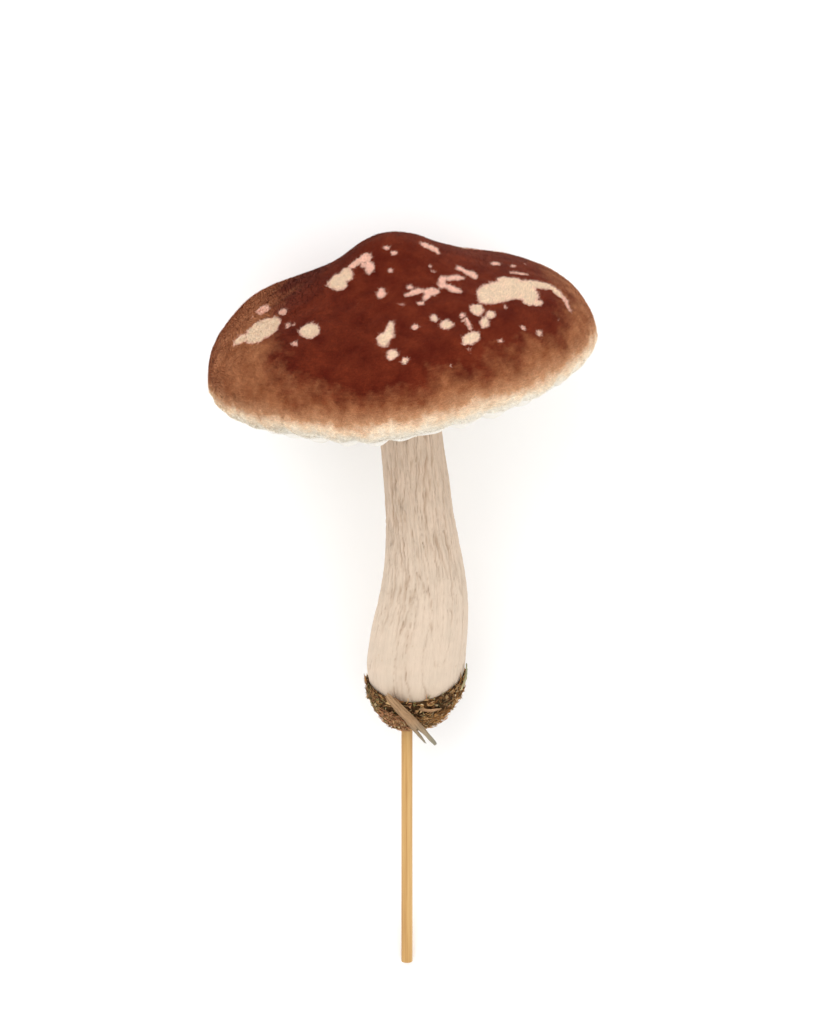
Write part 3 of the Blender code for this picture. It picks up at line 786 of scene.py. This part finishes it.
def wrapMaterial():
    material, tree, shader = newMaterial("fibrePaper", Roughness=0.88, Specular_IOR_Level=0.22, Sheen_Weight=0.12,
                                         Sheen_Roughness=0.4)
    paper = readValue(tree, "paper", "Vector")
    share = rangeOf(tree, addNode(tree, "SeparateXYZ", {0: paper}).outputs[2], 0.0, 112.0)
    # painted light: the ramp rises to the paler top tone near the cap
    base = rampOf(tree, share, [(place, wrapFinish[tint]) for place, tint in (
        (0.0, "foot"), (0.17, "bulb"), (0.42, "bulb"), (0.7, "mid"), (0.8, "mid"), (0.94, "top"))])
    long = streaksOf(tree, paper, (1.7, 1.7, 0.09), 6.0, 2.3)
    hairs = streaksOf(tree, paper, (5.0, 5.0, 0.16), 3.0, 2.6)
    blush = mottleOf(tree, paper, 0.18, (1.03, 1.0, 0.98, 1), (0.93, 0.92, 0.90, 1))[0]
    tint = blendOf(tree, 1.0, base, blush, blend_type="MULTIPLY")
    # hairs and streaks fade out towards the bulb
    darkHair = sumOf(tree, rangeOf(tree, hairs, 0.34, 0.12, 0, 0.4), rangeOf(tree, share, 0.25, 0.6, 0.4), "MULTIPLY")
    tint = blendOf(tree, darkHair, tint, wrapFinish["fibre"])
    # painted shade: the colour darkens towards the fold tone down in the creases
    tint = blendOf(tree, rangeOf(tree, readValue(tree, "crease"), -0.12, -0.6, 0, 0.6), tint, wrapFinish["fold"])
    tint = blendOf(tree, readValue(tree, "seam"), tint, wrapFinish["seam"])
    calm = rangeOf(tree, share, 0.2, 0.55, 0.35)
    streak = sumOf(tree, rangeOf(tree, long, 0, 1, 0.88, 1.08), 1.0, "SUBTRACT")
    paint(tree, shader, tint, sumOf(tree, streak, calm, "MULTIPLY_ADD", 1.0))
    bumpFrom(tree, shader, sumOf(tree, long, hairs), 0.45, 0.25 * mm)
    return material


# the bamboo stick

stick = {
    "radius": 1.6, "foot": -2.2, "length": 119.2, "sides": 64, "rings": 60, "chamfer": 0.14,
    "tones": [(0.0, colour(174, 130, 76)), (0.5, colour(196, 153, 92)), (1.0, colour(210, 172, 114))],
    "fibre": colour(150, 98, 48),
}


def makeStick():
    deselectAll()
    bpy.ops.mesh.primitive_cylinder_add(vertices=stick["sides"], radius=stick["radius"], depth=stick["length"],
                                        location=(0, 0, stick["foot"] + stick["length"] / 2))
    piece = takeNew("bambooStick")
    bpy.ops.object.transform_apply(location=True)
    selectEdges(piece, lambda low, high: abs(high.z - low.z) < 0.001)
    bpy.ops.mesh.bevel(offset=stick["chamfer"], segments=2, affect="EDGES")
    selectEdges(piece, lambda low, high: abs(high.z - low.z) > stick["length"] / 2)
    bpy.ops.mesh.subdivide(number_cuts=stick["rings"])
    bpy.ops.object.mode_set(mode="OBJECT")
    points = getPoints(piece)
    radius = np.hypot(points[:, 0], points[:, 1])
    ribs = wander(columns(points[:, 0] * 2.4, points[:, 1] * 2.4, points[:, 2] / 30), 1.0, 12)
    shave = 1 + (0.022 * ribs - 0.012) * ease(radius, 0.4, 1.4)
    points[:, 0] *= shave
    points[:, 1] *= shave
    setPoints(piece, points)
    setValues(piece, "grain", points)
    putPiece(piece, lying)
    return piece


def bambooMaterial():
    material, tree, shader = newMaterial("splitBamboo", Roughness=0.55, Specular_IOR_Level=0.35,
                                         Coat_Weight=0.08, Coat_Roughness=0.35)
    grain = readValue(tree, "grain", "Vector")
    fibres = streaksOf(tree, grain, (3.4, 3.4, 0.045), 5.0, 2.2)
    bands = streaksOf(tree, grain, (0.9, 0.9, 0.02), 3.0, 2.0)
    tone = rampOf(tree, bands, stick["tones"])
    paint(tree, shader, blendOf(tree, rangeOf(tree, fibres, 0.4, 0.1, 0, 0.5), tone, stick["fibre"]))
    tree.links.new(rangeOf(tree, fibres, 0, 1, 0.65, 0.45), shader.inputs["Roughness"])
    bumpFrom(tree, shader, fibres, 0.5, 0.12 * mm)
    return material


# moss, coir and bark round the foot

def growStrands(name, lines, widths, rng, sides=3):
    # lines: strands x points x 3, in metres. Each becomes a thin closed tube that tapers to its tip.
    count, steps = lines.shape[:2]
    tangent = unit(np.gradient(lines, axis=1))
    across = unit(np.cross(tangent, np.broadcast_to(unit(rng.normal(size=(count, 3)))[:, None, :], tangent.shape)))
    other = np.cross(tangent, across)
    taper = 1 - 0.75 * np.linspace(0, 1, steps) ** 1.5
    radius = widths[:, None] / 2 * taper[None, :]
    turns = np.arange(sides) / sides * 2 * math.pi
    rings = (lines[:, :, None, :]
             + across[:, :, None, :] * (radius[:, :, None] * np.cos(turns))[..., None]
             + other[:, :, None, :] * (radius[:, :, None] * np.sin(turns))[..., None])
    points = rings.reshape(-1, 3)
    points[:, 2] = np.maximum(points[:, 2], 0.05 * mm)
    corner = np.arange(sides)
    after = (corner + 1) % sides
    quads = []
    for step in range(steps - 1):
        low, high = step * sides, (step + 1) * sides
        quads.append(columns(low + corner, low + after, high + after, high + corner))
    quads = np.concatenate(quads)
    starts = (np.arange(count) * steps * sides)[:, None, None]
    walls = (quads[None] + starts).reshape(-1, 4)
    ends = np.concatenate([corner[::-1][None], (steps - 1) * sides + corner[None]])
    caps = (ends[None] + starts).reshape(-1, sides)
    piece = newPiece(name, points, [*walls.tolist(), *caps.tolist()])
    setValues(piece, "strand", np.repeat(rng.random(count), steps * sides))
    setValues(piece, "length", np.tile(np.repeat(np.linspace(0, 1, steps), sides), count))
    setValues(piece, "shade", hollowShade(points))
    return piece


bulbMiddle = (2.6, 0, 86)  # mm
footMiddle = np.array(lying @ (Vector(bulbMiddle) * mm))
stickWay = np.array(upStick)

looseClumps = {"coir_clump_right": 1.6, "moss_clump_left": 1.3}  # bits only, and how deep they lie
mossHollows = [(-47, 31, 3.2, 0.62), (-162, 31, 2.2, 0.4), (-64, 62, 1.9, 0.45)]  # bearing, turn, spread, depth: how much painted shade darkens each hollow


def hollowShade(points):  # how much light reaches each point: less down in the hollows
    shade = np.ones(len(points))
    for bearing, turn, spread, depth in mossHollows:
        radius, height = footPoint(math.radians(turn), 2.2)
        bearing = math.radians(bearing)
        spot = Vector((radius * math.cos(bearing) + 2.0, radius * math.sin(bearing), height)) * mm
        away = np.linalg.norm(points - np.array(lying @ spot), axis=1) / (spread * mm)
        shade *= 1 - depth * np.exp(-(away**2))
    return shade


mossKinds = {
    # which pieces it grows on, how many strands, their length and width in mm, how much they curl and
    # stand up, how far they run round the foot, and their colours
    "coirStrands": {
        "on": {"moss_wad": 3, "coir_clump_front": 2, "coir_clump_right": 2, "coir_clump_back": 2}, "count": 1150,
        "length": (2.0, 6.5), "width": (0.18, 0.5), "curl": 1.1, "rise": 0.2, "round": 0.7, "slot": "moss",
        "tones": [(116, 78, 44), (178, 124, 68), (206, 160, 104), (150, 106, 62)],
    },
    "mossSprigs": {
        "on": {"moss_wad": 2, "moss_clump_left": 3, "moss_clump_back": 3}, "count": 1300,
        "length": (0.9, 2.6), "width": (0.2, 0.46), "curl": 1.7, "rise": 0.5, "round": 0.3, "slot": "green_moss",
        "tones": [(70, 62, 36), (118, 110, 70), (154, 146, 98), (96, 76, 46)],
    },
    "paleSprigs": {
        "on": {"moss_clump_left": 1, "moss_clump_front": 3, "moss_clump_back": 2, "coir_clump_right": 2,
               "moss_wad": 2},
        "count": 620, "length": (0.8, 2.4), "width": (0.2, 0.44), "curl": 1.8, "rise": 0.6, "round": 0.2,
        "slot": "green_moss", "tones": [(186, 180, 132), (212, 202, 158), (160, 154, 108), (198, 178, 132)],
    },
    "rootCurls": {
        "on": {"moss_wad": 2, "moss_clump_front": 4, "coir_clump_back": 1, "moss_clump_left": 1}, "count": 1000,
        "length": (1.4, 4.4), "width": (0.22, 0.6), "curl": 1.7, "rise": 0.35, "round": 0.6, "slot": "root_fibre",
        "tones": [(124, 78, 52), (176, 124, 88), (202, 154, 118), (98, 62, 38)],
    },
}


def outerOnly(middles, faceNormals, corners):
    return (np.einsum("ij,ij->i", faceNormals, unit(middles - footMiddle)) > -0.1).astype(float)


def footSpots(nodes, count, rng):  # places on those pieces' outsides, and the way out from the foot there
    total = sum(nodes.values())
    found = []
    for node, part in nodes.items():
        spots = sampleFaces(frame["nodes"][node], count * part // total, rng, outerOnly)[0]
        sunk = looseClumps.get(node, 0) * mm * rng.uniform(0.3, 1.0, len(spots))
        found.append(spots - unit(spots - footMiddle) * sunk[:, None])
    spots = np.concatenate(found)
    return spots, unit(spots - footMiddle)


def makeMoss(name, kind, rng):
    spots, normals = footSpots(kind["on"], kind["count"], rng)
    count, steps = len(spots), 7
    around = unit(np.cross(np.broadcast_to(stickWay, normals.shape), normals))
    heading = unit(around * (np.sign(rng.random(count) - 0.5) * kind["round"])[:, None]
                   + 0.6 * rng.normal(size=(count, 3)) + kind["rise"] * normals)
    length = rng.uniform(*kind["length"], count) * mm
    axis = unit(rng.normal(size=(count, 3)))
    down = ease((spots - footMiddle) @ -stickWay, 1.5 * mm, 10 * mm)
    room = np.linalg.norm(spots - footMiddle, axis=1) + rng.uniform(0.3, 1.0, count) ** 2 * (0.1 + 0.8 * down) * mm
    lines = np.empty((count, steps, 3))
    lines[:, 0] = spots - normals * 0.2 * mm
    for i in range(1, steps):
        bend = kind["curl"] * rng.uniform(0.5, 1.3, count)[:, None] / steps
        heading = unit(heading + np.cross(axis, heading) * bend * 2.2 + 0.14 * rng.normal(size=(count, 3)))
        sinking = np.einsum("ij,ij->i", heading, normals)
        heading = unit(heading - normals * np.minimum(sinking + 0.05, 0)[:, None])
        step = lines[:, i - 1] + heading * (length / steps)[:, None]
        far = np.linalg.norm(step - footMiddle, axis=1)
        lines[:, i] = footMiddle + (step - footMiddle) * (np.minimum(far, room) / far)[:, None]
    widths = rng.uniform(*kind["width"], count) * mm
    return growStrands(name, lines, widths, rng)


flakes = {
    "count": 3000, "length": (0.6, 2.7), "width": (0.35, 1.2), "thickness": (0.12, 0.34),
    "on": {"moss_wad": 4, "moss_clump_front": 2, "coir_clump_front": 2, "coir_clump_right": 2, "moss_clump_left": 1,
           "moss_clump_back": 2, "coir_clump_back": 2},
    "tones": [(108, 74, 46), (164, 126, 84), (198, 162, 118), (134, 98, 62), (212, 188, 148), (92, 76, 48)],
}


def makeFlakes(rng):  # crumbs of bark and leaf, each a thin splinter with eight sides
    spots, normals = footSpots(flakes["on"], flakes["count"], rng)
    count = len(spots)
    up = unit(normals + 0.45 * rng.normal(size=(count, 3)))
    long = unit(np.cross(up, rng.normal(size=(count, 3))))
    wide = np.cross(up, long)
    half = [rng.uniform(*flakes[side], count)[:, None] * mm / 2 for side in ("length", "width", "thickness")]
    middle = spots + normals * rng.uniform(-0.1, 0.5, count)[:, None] * mm
    skew = 0.35 * rng.normal(size=(count, 2))
    points = np.stack([
        middle + long * half[0] + wide * half[1] * skew[:, :1], middle - long * half[0] + wide * half[1] * skew[:, 1:],
        middle + wide * half[1], middle - wide * half[1] * 0.8, middle + up * half[2], middle - up * half[2],
    ], axis=1).reshape(-1, 3)
    points[:, 2] = np.maximum(points[:, 2], 0.05 * mm)
    sides = np.array([(0, 2, 4), (2, 1, 4), (1, 3, 4), (3, 0, 4), (2, 0, 5), (1, 2, 5), (3, 1, 5), (0, 3, 5)])
    faces = (np.arange(count) * 6)[:, None, None] + sides
    piece = newPiece("mossFlakes", points, faces.reshape(-1, 3))
    setValues(piece, "strand", np.repeat(rng.random(count), 6))
    setValues(piece, "length", np.tile([1, 0.6, 0.8, 0.3, 0.7, 0.1], count))
    setValues(piece, "shade", hollowShade(points))
    return piece


def strandMaterial(name, tones):
    material, tree, shader = newMaterial(name, Roughness=0.9, Specular_IOR_Level=0.15)
    stops = [(i / (len(tones) - 1), colour(*tone)) for i, tone in enumerate(tones)]
    place = placeOf(tree)
    patch = mottleOf(tree, place, 300.0, (1.12, 1.1, 1.05, 1), (0.6, 0.54, 0.47, 1), 0.12)[0]
    tint = blendOf(tree, 1.0, rampOf(tree, readValue(tree, "strand"), stops), patch, blend_type="MULTIPLY")
    fine = streaksOf(tree, place, (2600, 2600, 2600), 2.0, 1.5)
    paler = rangeOf(tree, readValue(tree, "length"), 0, 1, 0.78, 1.15)
    strength = sumOf(tree, paler, rangeOf(tree, fine, 0, 1, 0.8, 1.15), "MULTIPLY")
    # painted shade: the shade value darkens strands and flakes down in the hollows
    paint(tree, shader, tint, sumOf(tree, strength, readValue(tree, "shade"), "MULTIPLY"))
    bumpFrom(tree, shader, fine, 0.4, 0.1 * mm)
    return material


def humusMaterial(name, light, dark):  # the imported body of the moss, seen only in its gaps
    material, tree, shader = newMaterial(name, Roughness=1.0, Specular_IOR_Level=0.1)
    place = placeOf(tree)
    crumbs = addNode(tree, "TexVoronoi", {"Vector": place, "Scale": 1100.0, "Randomness": 1.0}).outputs["Distance"]
    tint, height = mottleOf(tree, place, 500.0, colour(*light), colour(*dark))
    # painted light and shade: each crumb is lit to 1.25 times at its middle and darkened to 0.45 towards the gaps
    # between crumbs, where the bump sinks
    paint(tree, shader, tint, rangeOf(tree, crumbs, 0, 0.6, 1.25, 0.45))
    bumpFrom(tree, shader, sumOf(tree, height, crumbs, "SUBTRACT"), 1.0, 0.5 * mm)
    return material


def foamMaterial():  # white bead foam
    material, tree, shader = newMaterial("beadFoam", Roughness=0.85, Specular_IOR_Level=0.3)
    place = placeOf(tree)
    cells = {"Vector": place, "Scale": 420.0, "Randomness": 0.8}
    beads = addNode(tree, "TexVoronoi", cells).outputs["Distance"]
    seams = addNode(tree, "TexVoronoi", cells, feature="DISTANCE_TO_EDGE").outputs["Distance"]
    tint = rampOf(tree, rangeOf(tree, seams, 0, 0.12), [(0.0, colour(206, 206, 200)), (1.0, colour(238, 238, 234))])
    dirt = mottleOf(tree, place, 60.0, (1, 1, 1, 1), (0.94, 0.93, 0.9, 1))[0]
    paint(tree, shader, blendOf(tree, 1.0, tint, dirt, blend_type="MULTIPLY"))
    bumpFrom(tree, shader, sumOf(tree, 1.0, beads, "SUBTRACT"), 0.5, 0.4 * mm)
    return material


# bark strips, each a bundle of split slivers

barkStrips = {
    # the route in mm, half the width at its two ends, the colours of fresh wood, weathered wood and the painted shade
    # in its cracks, and
    # for each sliver: where it starts and ends along the route, how far to the side it lies at each end, its
    # height over the route and its own half width
    "barkLong": {
        "replaces": "bark_strip_long", "width": (2.7, 1.6),
        "route": [(-5.6, -11.5, 81.2), (-2.4, -13.0, 77.8), (1.4, -12.9, 74.0), (4.8, -11.2, 69.6), (7.9, -9.0, 65.4)],
        "tones": [(166, 132, 98), (146, 141, 122), (94, 70, 50)],
        "slivers": [  # the first three lead to the left point of the fork, the next three to the right one
            (0.02, 0.86, -0.75, -1.75, 0.0, 0.66), (0.3, 0.90, -0.5, -1.95, 0.12, 0.5),
            (0.12, 0.8, -0.95, -1.5, -0.15, 0.45), (0.04, 1.0, 0.4, 0.35, 0.12, 0.72),
            (0.14, 0.98, 0.85, 0.65, -0.1, 0.5), (0.3, 1.0, 0.1, 0.1, 0.2, 0.4),
            (0.0, 0.66, -0.15, -0.7, 0.22, 0.75), (0.08, 0.74, 0.15, -0.3, -0.05, 0.62),
            (0.0, 0.5, 0.55, 0.6, 0.36, 0.45), (0.05, 0.36, -0.8, -0.6, 0.3, 0.35),
        ],
    },
    "barkShort": {
        "replaces": "bark_strip_short", "width": (0.8, 1.1),
        "route": [(9.8, -9.8, 76.4), (6.4, -12.0, 76.5), (3.4, -12.8, 77.2)],
        "tones": [(180, 140, 102), (160, 124, 90), (92, 62, 40)],
        "slivers": [(0.0, 1.0, 0.3, 0.2, 0.0, 0.55), (0.15, 0.9, -0.5, -0.6, 0.1, 0.45),
                    (0.05, 0.7, 0.8, 0.7, -0.1, 0.3)],
    },
    "barkShard": {
        "replaces": "bark_shard_right", "width": (0.7, 1.1),
        "route": [(16.8, -3.3, 87.8), (16.6, -4.7, 84.2), (15.1, -6.3, 80.6)],
        "tones": [(150, 148, 118), (186, 172, 130), (84, 78, 56)],
        "slivers": [(0.05, 1.0, 0.1, 0.0, 0.0, 0.6), (0.0, 0.8, -0.5, -0.7, 0.1, 0.4),
                    (0.2, 0.95, 0.7, 0.6, 0.05, 0.35)],
    },
}
sliver = {"rings": 26, "sides": 8, "thickness": 0.2}


def makeBark(name, strip, rng):
    deselectAll()
    bpy.ops.mesh.primitive_cylinder_add(vertices=sliver["sides"], radius=1, depth=2, location=(0, 0, 0))
    piece = takeNew(name)
    selectEdges(piece, lambda low, high: abs(high.z - low.z) > 1)
    bpy.ops.mesh.subdivide(number_cuts=sliver["rings"])
    bpy.ops.object.mode_set(mode="OBJECT")
    bar = getPoints(piece)
    bundle = piece.modifiers.new("bundle", "ARRAY")
    bundle.count = len(strip["slivers"])
    bundle.use_relative_offset = False
    bundle.use_constant_offset = True
    bundle.constant_offset_displace = (0, 0, 0)
    applyAll(piece)
    laid, tone, length = [], [], []
    for start, end, sideStart, sideEnd, lift, half in strip["slivers"]:
        seed = rng.uniform(0, 90)
        across, up, way = bar[:, 0], bar[:, 1], (bar[:, 2] + 1) / 2
        ragged = wander(columns(across * 2.2 + seed, up * 0.5, way * 0), 1.0)
        shares = start + (end - start) * way + ragged * 0.035 * np.abs(2 * way - 1) ** 4
        here = along(strip["route"], shares)
        ahead = unit(along(strip["route"], shares + 0.02) - along(strip["route"], shares - 0.02))
        outwards = unit(here - np.array(bulbMiddle))
        sideways = unit(np.cross(outwards, ahead))
        face = np.cross(ahead, sideways)
        wide = strip["width"][0] + (strip["width"][1] - strip["width"][0]) * shares
        taper = 1 - 0.6 * np.abs(2 * way - 1) ** 5
        uneven = 1 + 0.3 * wander(columns(across * 0.3 + seed, way * 7, way * 0), 1.0)
        side = (sideStart + (sideEnd - sideStart) * way) * wide * 0.6
        offset = side + across * half * taper * uneven
        height = lift + up * sliver["thickness"] * taper * (1 - 0.5 * across**2)
        height = height + 0.12 * wander(columns(way * 9 + seed, across * 1.5, way * 0), 1.0)
        laid.append(here + sideways * offset[:, None] + face * height[:, None])
        tone.append(np.full(len(bar), rng.random()))
        length.append(shares)
    setPoints(piece, np.concatenate(laid))
    grain = [columns(bar[:, 0] * 0.7 + 3 * i, bar[:, 1] * 0.3, bar[:, 2] * 6) for i in range(len(laid))]
    for name, values in {"grain": grain, "strand": tone, "length": length}.items():
        setValues(piece, name, np.concatenate(values))
    weld(piece, 1e-7)
    putPiece(piece, lying)
    return piece


def barkMaterial(name, fresh, weathered, shade):
    material, tree, shader = newMaterial(name, Roughness=0.88, Specular_IOR_Level=0.18)
    fibres = streaksOf(tree, readValue(tree, "grain", "Vector"), (8.0, 8.0, 0.45), 5.0, 2.8)
    ageing = rangeOf(tree, readValue(tree, "length"), 0.5, 0.92)
    # painted shade: the colour darkens to the shade tone down in the cracks between the fibres
    crackShade = rangeOf(tree, fibres, 0.44, 0.1, 0, 0.7)
    tint = blendOf(tree, crackShade, blendOf(tree, ageing, colour(*fresh), colour(*weathered)), colour(*shade))
    paint(tree, shader, tint, rangeOf(tree, readValue(tree, "strand"), 0, 1, 0.8, 1.15))
    bumpFrom(tree, shader, fibres, 0.5, 0.15 * mm)
    return material


twigs = {"rootTwigLeft": "root_twig_left", "rootTwigBack": "root_twig_back"}


def makeTwig(name, node, rng):  # a rough root that follows its solid's middle line
    points = getPoints(frame["nodes"][node])
    middle = points.mean(axis=0)
    axis = np.linalg.svd(points - middle, full_matrices=False)[2][0]
    reach = (points - middle) @ axis
    stations = np.linspace(reach.min() + 0.3 * mm, reach.max() - 0.3 * mm, 26)
    line = np.array([points[np.argsort(np.abs(reach - station))[:14]].mean(axis=0) for station in stations])
    line = line + 0.12 * mm * np.cumsum(rng.normal(size=line.shape) * 0.35, axis=0)
    return growStrands(name, line[None], np.array([0.95 * mm]), rng, sides=10)


# build everything

setStudio()
print("studio is set")

velvetPiece = finishPiece(makeVelvet(), velvetMaterial("velvetCloth"), ["cap_velvet"])
tipMaterial = velvetMaterial("velvetPile", tips=True)
outside = np.empty(len(velvetPiece.data.vertices))
velvetPiece.data.attributes["outside"].data.foreach_get("value", outside)

def outsideOnly(middles, faceNormals, corners):
    return (outside[corners].min(axis=1) > 0.5).astype(float)

for number in range(pile["pieces"]):
    tuft = growPile(f"velvetPile{number + 1}", velvetPiece, dice, outsideOnly)
    finishPiece(tuft, tipMaterial, smooth=False)
print("velvet is on")

gillPiece = finishPiece(makeGills(), gillMaterial(), ["gill_cloth"])
print("gills are gathered")

wrapPiece = finishPiece(makeWrap(), wrapMaterial(), ["stem_wrap"])
print("stem is wrapped")

finishPiece(makeStick(), bambooMaterial(), ["stick"])
print("stick is in")

for name, kind in mossKinds.items():
    strands = makeMoss(name, kind, dice)
    finishPiece(strands, strandMaterial(name, kind["tones"]))
finishPiece(makeFlakes(dice), strandMaterial("mossFlakes", flakes["tones"]), list(looseClumps), smooth=False)
print("moss is on")

for name, strip in barkStrips.items():
    finishPiece(makeBark(name, strip, dice), barkMaterial(name, *strip["tones"]), [strip["replaces"]])
for name, node in twigs.items():
    finishPiece(makeTwig(name, node, dice), strandMaterial(name, [(104, 62, 40), (168, 112, 78), (90, 54, 34)]),
                [node])
print("bark and roots are on")

# the solids that stay in view, or inside
foam = foamMaterial()
humus = humusMaterial("coirHumus", (128, 90, 54), (56, 36, 20))
mossBody = humusMaterial("mossBody", (112, 100, 64), (52, 44, 24))
rootBody = humusMaterial("rootBody", (140, 94, 64), (64, 38, 24))
for node, finish in {
    "stem_form": foam, "cap_form": foam, "moss_wad": humus, "coir_clump_front": humus,
    "coir_clump_back": humus, "moss_clump_back": mossBody, "moss_clump_front": rootBody,
}.items():
    solid = frame["nodes"][node]
    solid.data.materials.clear()
    solid.data.materials.append(finish)
print("solids are finished")
